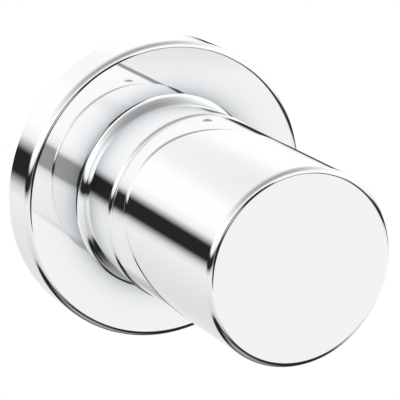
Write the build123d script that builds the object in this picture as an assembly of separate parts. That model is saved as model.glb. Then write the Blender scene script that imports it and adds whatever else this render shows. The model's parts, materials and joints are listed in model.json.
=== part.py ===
from build123d import *
from math import cos, radians, sin, sqrt
import os

# Concealed stop valve: a chromed handle, collar and escutcheon in front of the wall, and inside the wall
# a brass body with a quarter-turn ceramic headpart. All lengths are in millimetres, angles in degrees.
# The valve's axis is Y. Depth 0 is the finished wall, minus is in the room, plus is inside the wall.
# Z is up. Angles round the axis run anticlockwise from X as seen from the room.

# Escutcheon and its gasket
escutcheon_radius = 36.0
escutcheon_thickness = 10.0
escutcheon_wall = 2.0
escutcheon_rounding = 1.8
escutcheon_boss_wall = 2.4
escutcheon_boss_length = 5.0
gasket_width = 2.5
gasket_thickness = 3.0

# Collar between the escutcheon and the handle
collar_radius = 22.0
collar_mouth_radius = 22.65
collar_wall = 1.5
collar_shoulder = 0.5
collar_flare = 1.6
collar_foot_edge = 0.25
collar_spigot_step = 1.7
collar_spigot_length = 6.0
collar_seal_section = 0.75
collar_front_rounding = 0.7

# Handle
handle_radius = 22.25
handle_length = 46.9
handle_rear = 26.5
handle_gap = 0.4
handle_wall = 2.2
handle_front_wall = 2.6
handle_shoulder = 0.45
handle_front_rounding = 1.4
handle_rear_rounding = 0.5
handle_travel_angle = 90.0
key_hole_radius = 1.05
key_hole_setback = 3.9
plug_length = 2.0
plug_recess = 0.1
plug_chamfer = 0.3

# Insert that drives from the handle to the extension
insert_setback = 1.6
insert_length = 18.0
insert_ring_wall = 1.9
insert_web = 3.0
insert_web_setback = 4.5
insert_rib_count = 6
insert_rib_width = 2.0
insert_rib_length = 6.5
hub_radius = 9.0
hub_length = 20.5

# Grub screw under the key hole
grub_radius = 1.5
grub_length = 4.0
grub_key = 1.5
grub_key_depth = 1.6
grub_chamfer = 0.3

# Guide ring in the collar's mouth
guide_ring_thickness = 2.5
guide_ring_recess = 0.6

# Threaded sleeve from the body's neck to the collar
sleeve_radius = 17.0
sleeve_bore_radius = 14.8
sleeve_front_gap = 4.5
sleeve_notch_count = 4
sleeve_notch_width = 3.0
sleeve_notch_depth = 2.5
sleeve_seal_section = 0.55

# Body in the wall
mouth_depth = 14.0
neck_radius = 14.0
neck_length = 10.0
barrel_radius = 15.5
cavity_radius = 11.5
seat_below_mouth = 24.0
seat_plate = 2.5
seat_hole_radius = 5.6
inlet_chamber_radius = 9.0
inlet_chamber_length = 11.5
back_wall = 4.0
back_chamfer = 3.0
cast_rounding = 2.0
pipe_below_mouth = 28.0
port_half_span = 32.0
port_thread_radius = 9.3
port_thread_length = 14.0
port_hexagon = 27.0
port_hexagon_length = 12.0
port_chamfer = 0.8
port_countersink = 0.8
pipe_tube_radius = 12.8
passage_radius = 4.6
outlet_rise = 8.0
outlet_run = 11.0

# Headpart bonnet and cage
headpart_flange_radius = 13.2
headpart_flange_thickness = 2.5
headpart_hexagon = 22.0
headpart_hexagon_length = 9.5
headpart_hexagon_chamfer = 0.9
bonnet_radius = 7.6
bonnet_length = 6.0
headpart_thread_radius = 10.45
headpart_thread_length = 9.0
headpart_seal_radius = 12.0
headpart_seal_thickness = 1.5
cage_radius = 9.0
cage_bore_radius = 8.1
cage_end_gap = 1.0
cage_window_count = 4
cage_window_angle = 50.0
stop_height = 2.3
stop_inner_radius = 5.9

# Ceramic discs and seat seal
disc_radius = 8.0
upper_disc_thickness = 3.0
lower_disc_thickness = 3.5
port_inner_radius = 2.0
port_outer_radius = 6.6
port_angle = 80.0
disc_lug_angle = 20.0
disc_lug_reach = 0.8
seat_seal_height = 2.5
seat_seal_radius = 7.9
seat_seal_bore = 5.8

# Spindle
spindle_radius = 4.5
thrust_flange_radius = 7.2
thrust_flange_thickness = 2.0
thrust_washer_thickness = 0.8
foot_length = 13.4
foot_width = 6.0
foot_height = 3.0
foot_neck = 2.1
foot_lug_depth = 1.4
foot_lug_length = 2.4
serration_teeth = 20
serration_tip_radius = 4.0
serration_root_radius = 3.6
serration_engagement = 10.5
seal_groove_depth = 1.2
seal_groove_width = 1.8
seal_section = 0.6
first_seal_setback = 5.0
seal_spacing = 4.0

# Stop washer and clip on the serration
stop_washer_radius = 5.6
stop_washer_thickness = 1.5
stop_lug_radius = 7.3
stop_lug_angle = 40.0
stop_lug_rest_angle = 135.0
stop_slack_angle = 1.0
clip_radius = 5.2
clip_thickness = 1.0
clip_groove_depth = 0.45
clip_opening_angle = 60.0

# Extension, its screw and washer
extension_radius = 7.0
extension_setback = 0.6
extension_floor = 1.9
extension_hexagon = 9.0
extension_reach = 13.0
socket_end_gap = 0.6
screw_radius = 2.0
screw_head_radius = 3.5
screw_head_height = 4.0
screw_engagement = 8.0
screw_key = 3.0
screw_key_depth = 2.2
screw_washer_radius = 4.2
screw_washer_thickness = 0.8

# Corners in the section of a squeezed seal ring
seal_corner_count = 8

# Clearances
running_fit = 0.06
running_gap = 0.05
seated_fit = 0.05
loose_fit = 0.1
axial_play = 0.3

# How near an edge lies to the radius and depth that it is picked by
match_tolerance = 1e-4

# Depths in front of the wall, from the driving sizes
escutcheon_front = -escutcheon_thickness
handle_back = -handle_rear
handle_front = handle_back - handle_length
key_hole_depth = handle_back - key_hole_setback
collar_front = handle_back + handle_gap
collar_back = escutcheon_front + collar_spigot_length
guide_ring_front = collar_front + guide_ring_recess
guide_ring_back = guide_ring_front + guide_ring_thickness
sleeve_front = guide_ring_back + sleeve_front_gap
insert_back = handle_back - insert_setback
insert_front = insert_back - insert_length
hub_back = guide_ring_back + axial_play
hub_front = hub_back - hub_length
extension_front = handle_back - extension_reach

# Depths inside the wall
seat_depth = mouth_depth + seat_below_mouth
neck_end = mouth_depth + neck_length
pipe_depth = mouth_depth + pipe_below_mouth
chamber_front = seat_depth + seat_plate
chamber_back = chamber_front + inlet_chamber_length
body_back = chamber_back + back_wall

# Depths of the discs, from the seat towards the room
lower_disc_back = seat_depth - seat_seal_height
lower_disc_front = lower_disc_back - lower_disc_thickness
upper_disc_back = lower_disc_front - running_gap
upper_disc_front = upper_disc_back - upper_disc_thickness
foot_front = upper_disc_front - foot_height
thrust_flange_back = foot_front - foot_neck
thrust_flange_front = thrust_flange_back - thrust_flange_thickness
thrust_washer_back = thrust_flange_front - running_gap
cage_shoulder = thrust_washer_back - thrust_washer_thickness
cage_back = seat_depth - cage_end_gap

# Depths of the headpart's front, from its seat on the neck towards the room
flange_front = mouth_depth - headpart_flange_thickness
hexagon_front = flange_front - headpart_hexagon_length
bonnet_front = hexagon_front - bonnet_length
stop_washer_back = bonnet_front - axial_play
stop_washer_front = stop_washer_back - stop_washer_thickness
clip_front = stop_washer_front - clip_thickness
extension_back = clip_front - extension_setback
spindle_front = extension_back - serration_engagement
socket_floor = spindle_front - socket_end_gap
extension_shoulder = socket_floor - extension_floor

# Radii that follow from a neighbour
collar_spigot_radius = collar_radius - collar_spigot_step
handle_bore_radius = handle_radius - handle_wall
handle_cavity_radius = handle_bore_radius - handle_shoulder
collar_bore_radius = collar_radius - collar_wall
collar_waist_radius = collar_bore_radius - collar_shoulder
collar_thread_radius = sleeve_radius + seated_fit
escutcheon_bore_radius = collar_spigot_radius + loose_fit
seal_groove_radius = spindle_radius - seal_groove_depth
clip_bore_radius = serration_root_radius - clip_groove_depth


def turned(*points):
    """Solid turned about the axis from the corners (radius, depth) of its outline."""
    return revolve(make_face(Polyline(*points, close=True).edges()), Axis.Y)


def tube(inner, outer, back, front):
    """Plain turned ring between two depths."""
    return turned((inner, back), (outer, back), (outer, front), (inner, front))


def disc(radius, back, front):
    """Plain turned cylinder between two depths."""
    return tube(0, radius, back, front)


def o_ring(groove_radius, section, depth):
    """Ring squeezed between a groove's floor and the bore round it, flat where it touches."""
    half_turn = 180 / seal_corner_count
    outline = RegularPolygon(section, seal_corner_count, major_radius=False, rotation=half_turn)
    return revolve(Pos(groove_radius + section, depth) * outline, Axis.Y)


def prism(sketch, back, front):
    """Solid with a section drawn square to the axis, X to the right and Z up, between two depths."""
    facing = Plane(origin=(0, back, 0), x_dir=(1, 0, 0), z_dir=(0, -1, 0))
    return extrude(facing * sketch, back - front)


def hexagon(across_flats):
    """Sketch of a hexagon with a flat on top."""
    return RegularPolygon(across_flats / 2, 6, major_radius=False)


def serration(tip_radius, root_radius):
    """Sketch of a section with pointed teeth all round."""
    corners = []
    for index in range(2 * serration_teeth):
        radius = root_radius if index % 2 else tip_radius
        angle = radians(180 * index / serration_teeth)
        corners.append((radius * cos(angle), radius * sin(angle)))
    return make_face(Polyline(*corners, close=True).edges())


def sector(inner, outer, middle, width):
    """Sketch of a ring sector, given by its middle angle and its width."""
    arcs = [CenterArc((0, 0), radius, middle - width / 2, width) for radius in (inner, outer)]
    ends = [Line(arcs[0] @ end, arcs[1] @ end) for end in (0, 1)]
    return make_face([*arcs, *ends])


def pair(inner, outer, middle, width):
    """Sketch of two like ring sectors on opposite sides of the axis."""
    return sector(inner, outer, middle, width) + sector(inner, outer, middle + 180, width)


def around(count, shape):
    """Copies of a solid, evenly spaced round the axis."""
    return [Rotation(0, 360 * index / count, 0) * shape for index in range(count)]


def upright(radius, low, high, depth):
    """Round bar that stands on the axis plane, from one height to another."""
    return Pos(0, depth, low) * Cylinder(radius, high - low, align=(Align.CENTER, Align.CENTER, Align.MIN))


def rounded(solid, edge_radius, depth, by):
    """Solid with the round edge at a radius and a depth rounded off."""
    edges = [
        edge
        for edge in solid.edges().filter_by(GeomType.CIRCLE)
        if abs(edge.radius - edge_radius) + abs(edge.arc_center.Y - depth) < match_tolerance
    ]
    return fillet(edges, by)


def make_escutcheon():
    """Hollow round cover with a boss that takes the collar's spigot."""
    boss_radius = escutcheon_bore_radius + escutcheon_boss_wall
    boss_back = escutcheon_front + escutcheon_boss_length
    skirt_radius = escutcheon_radius - escutcheon_wall
    face_back = escutcheon_front + escutcheon_wall
    shell = turned(
        (skirt_radius, 0),
        (escutcheon_radius, 0),
        (escutcheon_radius, escutcheon_front),
        (escutcheon_bore_radius, escutcheon_front),
        (escutcheon_bore_radius, boss_back),
        (boss_radius, boss_back),
        (boss_radius, face_back),
        (skirt_radius, face_back),
    )
    return rounded(shell, escutcheon_radius, escutcheon_front, escutcheon_rounding)


def make_escutcheon_gasket():
    """Soft ring inside the skirt, flush with the wall."""
    outer = escutcheon_radius - escutcheon_wall
    return tube(outer - gasket_width, outer, 0, -gasket_thickness)


def collar_seal_depth():
    """Middle of the seal between the collar's spigot and the escutcheon's boss."""
    return escutcheon_front + escutcheon_boss_length - 2 * collar_seal_section


def make_collar():
    """Sleeve with a concave flared foot, an inside thread and a mouth for the guide ring."""
    foot_radius = collar_radius + collar_flare
    foot_front = escutcheon_front - collar_foot_edge
    flare_front = foot_front - collar_flare
    flare = RadiusArc((foot_radius, foot_front), (collar_radius, flare_front), -collar_flare)
    outline = flare + Polyline(
        flare @ 1,
        (collar_mouth_radius, collar_front),
        (collar_bore_radius, collar_front),
        (collar_bore_radius, guide_ring_back),
        (collar_waist_radius, guide_ring_back),
        (collar_waist_radius, sleeve_front - axial_play),
        (collar_thread_radius, sleeve_front - axial_play),
        (collar_thread_radius, collar_back),
        (collar_spigot_radius, collar_back),
        (collar_spigot_radius, escutcheon_front),
        (foot_radius, escutcheon_front),
        flare @ 0,
    )
    sleeve = revolve(make_face(outline.edges()), Axis.Y)
    sleeve = rounded(sleeve, collar_mouth_radius, collar_front, collar_front_rounding)
    groove_radius = escutcheon_bore_radius - 2 * collar_seal_section
    seal_back = collar_seal_depth() + collar_seal_section + seated_fit
    seal_front = collar_seal_depth() - collar_seal_section - seated_fit
    return sleeve - tube(groove_radius, collar_spigot_radius + loose_fit, seal_back, seal_front)


def make_collar_seal():
    """Ring in the spigot's groove, which touches the escutcheon's bore."""
    groove_radius = escutcheon_bore_radius - 2 * collar_seal_section
    return o_ring(groove_radius, collar_seal_section, collar_seal_depth())


def make_guide_ring():
    """Plastic disc in the collar's mouth, in which the insert's hub turns."""
    return tube(hub_radius + running_fit, collar_bore_radius - seated_fit, guide_ring_back, guide_ring_front)


def make_neck_sleeve():
    """Threaded tube screwed on the body's neck, with spanner notches in its front."""
    shell = turned(
        (neck_radius + seated_fit, neck_end),
        (sleeve_radius, neck_end),
        (sleeve_radius, sleeve_front),
        (sleeve_bore_radius, sleeve_front),
        (sleeve_bore_radius, mouth_depth),
        (neck_radius + seated_fit, mouth_depth),
    )
    wall_middle = (sleeve_bore_radius + sleeve_radius) / 2
    notch = Pos(wall_middle, sleeve_front, 0) * Box(
        2 * (sleeve_radius - sleeve_bore_radius), 2 * sleeve_notch_depth, sleeve_notch_width
    )
    return shell - around(sleeve_notch_count, notch)


def sleeve_seal_depth():
    """Middle of the seal groove on the body's neck."""
    return mouth_depth + neck_length / 2


def make_sleeve_seal():
    """Ring between the body's neck and the threaded tube."""
    groove_radius = neck_radius + seated_fit - 2 * sleeve_seal_section
    return o_ring(groove_radius, sleeve_seal_section, sleeve_seal_depth())


def make_handle_shell():
    """Round knob, hollow from behind, with a flat front and a key hole on top."""
    shell = turned(
        (0, handle_front),
        (handle_radius, handle_front),
        (handle_radius, handle_back),
        (handle_bore_radius, handle_back),
        (handle_bore_radius, insert_front),
        (handle_cavity_radius, insert_front),
        (handle_cavity_radius, handle_front + handle_front_wall),
        (0, handle_front + handle_front_wall),
    )
    shell = rounded(shell, handle_radius, handle_front, handle_front_rounding)
    shell = rounded(shell, handle_radius, handle_back, handle_rear_rounding)
    return shell - upright(key_hole_radius, hub_radius, handle_radius, key_hole_depth)


def make_key_hole_plug():
    """Small plug that closes the key hole and follows the handle's round."""
    radius = key_hole_radius - seated_fit
    low = handle_radius - plug_length
    plug = upright(radius, low, handle_radius, key_hole_depth)
    plug = chamfer(plug.edges().group_by(Axis.Z)[0].filter_by(GeomType.CIRCLE), plug_chamfer)
    return plug & disc(handle_radius - plug_recess, key_hole_depth + radius, key_hole_depth - radius)


def make_handle_insert():
    """Hub with a hexagonal bore, joined to the handle's ring by a web and ribs."""
    ring_outer = handle_bore_radius - seated_fit
    ring_inner = ring_outer - insert_ring_wall
    web_back = insert_back - insert_web_setback
    web_front = web_back - insert_web
    counterbore_front = extension_shoulder - axial_play
    bore = hexagon(extension_hexagon + 2 * seated_fit)
    ring = tube(ring_inner, ring_outer, insert_back, insert_front)
    hub = disc(hub_radius, hub_back, hub_front)
    web = tube(hub_radius, ring_inner, web_back, web_front)
    rib = Pos((hub_radius + ring_inner) / 2, web_front - insert_rib_length / 2, 0) * Box(
        ring_inner - hub_radius + 2 * loose_fit, insert_rib_length, insert_rib_width
    )
    solid = ring + hub + web + around(insert_rib_count, rib)
    solid -= prism(bore, hub_back, hub_front)
    solid -= disc(extension_radius + loose_fit, hub_back, counterbore_front)
    solid -= upright(key_hole_radius + loose_fit, hub_radius, handle_radius, key_hole_depth)
    return solid - upright(grub_radius + seated_fit, 0, hub_radius + loose_fit, key_hole_depth)


def make_grub_screw():
    """Headless screw that stands on the extension's top flat."""
    low = extension_hexagon / 2
    high = low + grub_length
    screw = upright(grub_radius, low, high, key_hole_depth)
    screw = chamfer(screw.edges().filter_by(GeomType.CIRCLE), grub_chamfer)
    key = Plane((0, key_hole_depth, high)) * hexagon(grub_key)
    return screw - extrude(key, -grub_key_depth)


def make_spindle_extension():
    """Bar with a serrated socket behind, a hexagon in front and a clearance bore right through."""
    bar = disc(extension_radius, extension_back, extension_shoulder)
    bar += prism(hexagon(extension_hexagon), extension_shoulder, extension_front)
    socket = serration(serration_tip_radius + seated_fit, serration_root_radius + seated_fit)
    bar -= prism(socket, extension_back, socket_floor)
    return bar - disc(screw_radius + loose_fit, socket_floor, extension_front)


def make_screw_washer():
    """Flat washer on the extension's front."""
    washer_front = extension_front - screw_washer_thickness
    return tube(screw_radius + loose_fit, screw_washer_radius, extension_front, washer_front)


def make_extension_screw():
    """Socket-head screw through the extension into the spindle."""
    head_back = extension_front - screw_washer_thickness
    head_front = head_back - screw_head_height
    screw = disc(screw_radius, spindle_front + screw_engagement, head_back)
    screw += disc(screw_head_radius, head_back, head_front)
    return screw - prism(hexagon(screw_key), head_front + screw_key_depth, head_front)


def spindle_seal_depths():
    """Middles of the spindle's seal grooves."""
    return [bonnet_front + first_seal_setback + index * seal_spacing for index in range(2)]


def foot_section():
    """Sketch of the driving foot, across the turning disc's two ports."""
    return Rectangle(foot_width, foot_length) & Circle(disc_radius - disc_lug_reach)


def foot_lugs(growth=0.0):
    """Sketch of the two lugs at the foot's ends, or of their pockets when grown."""
    reach = foot_length / 2 - foot_lug_length / 2
    lug = Rectangle(foot_width + 2 * growth, foot_lug_length + 2 * growth)
    return (Pos(0, reach) * lug + Pos(0, -reach) * lug) & Circle(disc_radius - disc_lug_reach + growth)


def make_spindle():
    """Spindle with driving foot, thrust flange, seal grooves, serration and a tapped end."""
    spindle = disc(spindle_radius, upper_disc_front, bonnet_front)
    spindle += disc(thrust_flange_radius, thrust_flange_back, thrust_flange_front)
    spindle += prism(foot_section(), upper_disc_front, foot_front)
    spindle += prism(foot_lugs(), upper_disc_front + foot_lug_depth, upper_disc_front)
    spindle += prism(serration(serration_tip_radius, serration_root_radius), bonnet_front, spindle_front)
    for depth in spindle_seal_depths():
        spindle -= tube(
            seal_groove_radius,
            spindle_radius + loose_fit,
            depth + seal_groove_width / 2,
            depth - seal_groove_width / 2,
        )
    spindle -= tube(clip_bore_radius, serration_tip_radius + loose_fit, stop_washer_front, clip_front)
    tapped_end = spindle_front + screw_engagement + axial_play
    return spindle - disc(screw_radius + seated_fit, tapped_end, spindle_front)


def make_spindle_seals():
    """Two like rings, one in each of the spindle's grooves."""
    rings = [o_ring(seal_groove_radius, seal_section, depth) for depth in spindle_seal_depths()]
    return Compound(children=rings)


def make_thrust_washer():
    """Slip ring between the spindle's flange and the bonnet's inner shoulder."""
    return tube(
        spindle_radius + loose_fit, cage_bore_radius - loose_fit, thrust_washer_back, cage_shoulder
    )


def make_stop_washer():
    """Ring on the serration, with one lug that meets the bonnet's stop."""
    body = Circle(stop_washer_radius) + sector(
        spindle_radius, stop_lug_radius, stop_lug_rest_angle, stop_lug_angle
    )
    bore = serration(serration_tip_radius + seated_fit, serration_root_radius + seated_fit)
    return prism(body - bore, stop_washer_back, stop_washer_front)


def make_spindle_clip():
    """Open retaining ring in the spindle's groove."""
    ring = sector(clip_bore_radius + seated_fit, clip_radius, 0, 360 - clip_opening_angle)
    return prism(ring, stop_washer_front, clip_front)


def make_headpart_body():
    """Bonnet with hexagon, thread, ported cage and the stop for the quarter turn."""
    outside = turned(
        (0, bonnet_front),
        (bonnet_radius, bonnet_front),
        (bonnet_radius, flange_front),
        (headpart_flange_radius, flange_front),
        (headpart_flange_radius, mouth_depth),
        (headpart_thread_radius, mouth_depth),
        (headpart_thread_radius, mouth_depth + headpart_thread_length),
        (cage_radius, mouth_depth + headpart_thread_length),
        (cage_radius, cage_back),
        (0, cage_back),
    )
    corner_radius = headpart_hexagon / sqrt(3)
    turning = turned(
        (0, hexagon_front),
        (corner_radius - headpart_hexagon_chamfer, hexagon_front),
        (corner_radius, hexagon_front + headpart_hexagon_chamfer),
        (corner_radius, flange_front),
        (0, flange_front),
    )
    body = outside + (prism(hexagon(headpart_hexagon), flange_front, hexagon_front) & turning)
    stop_middle = stop_lug_rest_angle + handle_travel_angle / 2 + 180
    stop_angle = 360 - handle_travel_angle - stop_lug_angle - 2 * stop_slack_angle
    stop = sector(stop_inner_radius, bonnet_radius, stop_middle, stop_angle)
    body += prism(stop, bonnet_front, bonnet_front - stop_height)
    body -= disc(spindle_radius + running_fit, cage_back, bonnet_front)
    body -= disc(cage_bore_radius, cage_back, cage_shoulder)
    window = sector(disc_radius, cage_radius + loose_fit, 45, cage_window_angle)
    windows = prism(window, upper_disc_front - axial_play, thrust_flange_back + axial_play)
    slots = pair(spindle_radius, cage_radius + loose_fit, 0, disc_lug_angle + 2 * stop_slack_angle)
    return body - around(cage_window_count, windows) - prism(slots, cage_back, lower_disc_front)


def make_headpart_seal():
    """Flat ring in the neck's mouth, under the headpart's flange."""
    return tube(
        headpart_thread_radius + loose_fit,
        headpart_seal_radius,
        mouth_depth + headpart_seal_thickness,
        mouth_depth,
    )


def make_upper_disc():
    """Turning disc: at rest its ports lie across those of the fixed disc, so the valve is shut."""
    plate = disc(disc_radius, upper_disc_back, upper_disc_front)
    ports = pair(port_inner_radius, port_outer_radius, 0, port_angle)
    plate -= prism(ports, upper_disc_back, upper_disc_front)
    pocket_back = upper_disc_front + foot_lug_depth + seated_fit
    return plate - prism(foot_lugs(loose_fit), pocket_back, upper_disc_front)


def make_lower_disc():
    """Fixed disc with ports above and below the axis and a lug in each slot of the cage."""
    plate = disc(disc_radius, lower_disc_back, lower_disc_front)
    lugs = pair(port_outer_radius, disc_radius + disc_lug_reach, 0, disc_lug_angle)
    plate += prism(lugs, lower_disc_back, lower_disc_front)
    ports = pair(port_inner_radius, port_outer_radius, 90, port_angle)
    return plate - prism(ports, lower_disc_back, lower_disc_front)


def make_seat_seal():
    """Rubber ring squeezed between the fixed disc and the seat."""
    return tube(seat_seal_bore, seat_seal_radius, seat_depth, lower_disc_back)


def make_valve_body():
    """Cast body: barrel and neck on the axis, a threaded port above and below, and a seat wall."""
    body = turned(
        (0, mouth_depth),
        (neck_radius, mouth_depth),
        (neck_radius, neck_end),
        (barrel_radius, neck_end),
        (barrel_radius, body_back - back_chamfer),
        (barrel_radius - back_chamfer, body_back),
        (0, body_back),
    )
    body += upright(pipe_tube_radius, -port_half_span, port_half_span, pipe_depth)
    meetings = [edge for edge in body.edges() if edge.geom_type not in (GeomType.CIRCLE, GeomType.LINE)]
    body = fillet(meetings, cast_rounding)
    port_end = extrude(Plane((0, pipe_depth, port_half_span)) * hexagon(port_hexagon), -port_hexagon_length)
    port_end = chamfer(port_end.faces().sort_by(Axis.Z)[-1].edges(), port_chamfer)
    body += [port_end, mirror(port_end, Plane.XY)]

    socket_floor_height = port_half_span - port_thread_length
    socket = upright(port_thread_radius, socket_floor_height, port_half_span, pipe_depth)
    countersink = Pos(0, pipe_depth, port_half_span) * Cone(
        port_thread_radius - port_countersink, port_thread_radius + port_countersink, 2 * port_countersink
    )
    for cut in (socket, countersink):
        body -= [cut, mirror(cut, Plane.XY)]

    body -= disc(headpart_thread_radius + seated_fit, neck_end, mouth_depth)
    body -= disc(headpart_seal_radius + seated_fit, mouth_depth + headpart_seal_thickness, mouth_depth)
    body -= disc(cavity_radius, seat_depth, neck_end)
    body -= disc(seat_hole_radius, chamber_front, seat_depth)
    body -= disc(inlet_chamber_radius, chamber_back, chamber_front)

    chamber_middle = (chamber_front + chamber_back) / 2
    body -= upright(passage_radius, -socket_floor_height, 0, chamber_middle)
    rise_end = Vector(0, seat_depth - passage_radius - seat_plate, socket_floor_height - outlet_run)
    rise = Vector(0, outlet_rise, outlet_run)
    outlet = Plane(origin=rise_end, z_dir=rise) * Circle(passage_radius)
    body -= extrude(outlet, rise.length + passage_radius)

    groove = tube(
        neck_radius + seated_fit - 2 * sleeve_seal_section,
        neck_radius + loose_fit,
        sleeve_seal_depth() + sleeve_seal_section + seated_fit,
        sleeve_seal_depth() - sleeve_seal_section - seated_fit,
    )
    return body - groove


pieces = {
    "handle_shell": make_handle_shell,
    "key_hole_plug": make_key_hole_plug,
    "handle_insert": make_handle_insert,
    "grub_screw": make_grub_screw,
    "guide_ring": make_guide_ring,
    "collar": make_collar,
    "collar_seal": make_collar_seal,
    "escutcheon": make_escutcheon,
    "escutcheon_gasket": make_escutcheon_gasket,
    "neck_sleeve": make_neck_sleeve,
    "sleeve_seal": make_sleeve_seal,
    "spindle_extension": make_spindle_extension,
    "extension_screw": make_extension_screw,
    "screw_washer": make_screw_washer,
    "spindle": make_spindle,
    "spindle_seals": make_spindle_seals,
    "stop_washer": make_stop_washer,
    "spindle_clip": make_spindle_clip,
    "thrust_washer": make_thrust_washer,
    "headpart_body": make_headpart_body,
    "headpart_seal": make_headpart_seal,
    "upper_disc": make_upper_disc,
    "lower_disc": make_lower_disc,
    "seat_seal": make_seat_seal,
    "valve_body": make_valve_body,
}

os.makedirs("parts", exist_ok=True)
for name, make in pieces.items():
    export_step(make(), f"parts/{name}.step")
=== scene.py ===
"""Looks of a concealed stop valve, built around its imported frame.

Sizes in the classes are millimetres. An outline's corners are (radius, depth) about the valve's axis,
which is Y: minus depth is in the room, plus depth is inside the wall. Meshes are in metres.
"""
import json
import logging
import math
from dataclasses import dataclass, field
from enum import Enum
from typing import Any

import bmesh
import bpy
import numpy as np
from mathutils import Euler, Matrix, Vector


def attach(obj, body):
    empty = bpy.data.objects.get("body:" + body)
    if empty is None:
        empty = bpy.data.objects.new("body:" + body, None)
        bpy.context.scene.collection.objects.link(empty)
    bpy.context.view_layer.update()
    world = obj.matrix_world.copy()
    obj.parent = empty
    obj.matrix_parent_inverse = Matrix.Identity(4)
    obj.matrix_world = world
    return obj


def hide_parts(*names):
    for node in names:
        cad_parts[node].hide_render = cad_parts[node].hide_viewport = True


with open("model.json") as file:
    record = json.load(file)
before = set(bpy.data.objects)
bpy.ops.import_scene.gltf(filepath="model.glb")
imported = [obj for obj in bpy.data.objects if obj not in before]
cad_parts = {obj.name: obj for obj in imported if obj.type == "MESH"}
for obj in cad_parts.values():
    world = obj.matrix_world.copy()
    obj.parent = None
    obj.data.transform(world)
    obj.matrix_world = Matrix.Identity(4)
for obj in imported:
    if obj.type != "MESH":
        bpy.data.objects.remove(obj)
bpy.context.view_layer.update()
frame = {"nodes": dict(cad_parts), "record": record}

MM = 0.001
TINY = 1e-6  # metres in a mesh, millimetres in an outline
ON_RUN = 0.02  # millimetres; a place this near to a run of an outline lies on it
QUARTER_TURN = math.pi / 2
SQUARE = ((-1, -1), (1, -1), (1, 1), (-1, 1))
log = logging.getLogger("stop_valve")

Pair = tuple[float, float]
Corner = Pair
Colour = tuple[float, float, float]
Levels = tuple[Pair, ...]


class Body(Enum):
    """The two bodies that pieces ride on."""

    VALVE = "valve"
    HANDLE = "handle"


class Slot(Enum):
    """The record's material slots."""

    CHROME = "chrome_trim"
    TURNED_BRASS = "turned_brass"
    CAST_BRASS = "cast_brass"
    STEEL = "screw_steel"
    RUBBER = "black_rubber"
    ACETAL = "pale_plastic"
    SLIP = "white_slip_plastic"
    CERAMIC = "ceramic"
    GREY = "grey_plastic"


class Value:
    """A number or vector that a node gives; operators on it add Math nodes."""

    def __init__(self, nodes: "Nodes", socket: bpy.types.NodeSocket) -> None:
        """Keep the tree's builder and the socket."""
        self.nodes = nodes
        self.socket = socket

    def to(self, operation: str, *others: "Value | float") -> "Value":
        """Work out a named operation of the Math node.

        Args:
            operation: The Math node's operation.
            others: Its second and third operands.

        Returns:
            The result.
        """
        operands = dict(enumerate((self, *others)))
        return self.nodes.add("ShaderNodeMath", {"operation": operation}, operands)

    def __add__(self, other: "Value | float") -> "Value":
        """Sum."""
        return self.to("ADD", other)

    __radd__ = __add__

    def __sub__(self, other: "Value | float") -> "Value":
        """Difference."""
        return self.to("SUBTRACT", other)

    def __rsub__(self, other: float) -> "Value":
        """Difference from a number."""
        return (self * -1.0) + other

    def __mul__(self, other: "Value | float") -> "Value":
        """Product."""
        return self.to("MULTIPLY", other)

    __rmul__ = __mul__

    def __truediv__(self, other: "Value | float") -> "Value":
        """Quotient."""
        return self.to("DIVIDE", other)

    def hypot(self, other: "Value") -> "Value":
        """Long side of the right angle that the two make."""
        return (self * self + other * other).to("SQRT")

    def between(self, low: float, high: float) -> "Value":
        """Smooth step from 0 at low to 1 at high."""
        spans = {"Value": self, "From Min": low, "From Max": high}
        return self.nodes.add("ShaderNodeMapRange", {"interpolation_type": "SMOOTHSTEP"}, spans)

    def within(self, rise: Pair, fall: Pair) -> "Value":
        """Smooth window, from 0 up to 1 over the rise and down to 0 over the fall."""
        return self.between(*rise) * (1 - self.between(*fall))


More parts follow.
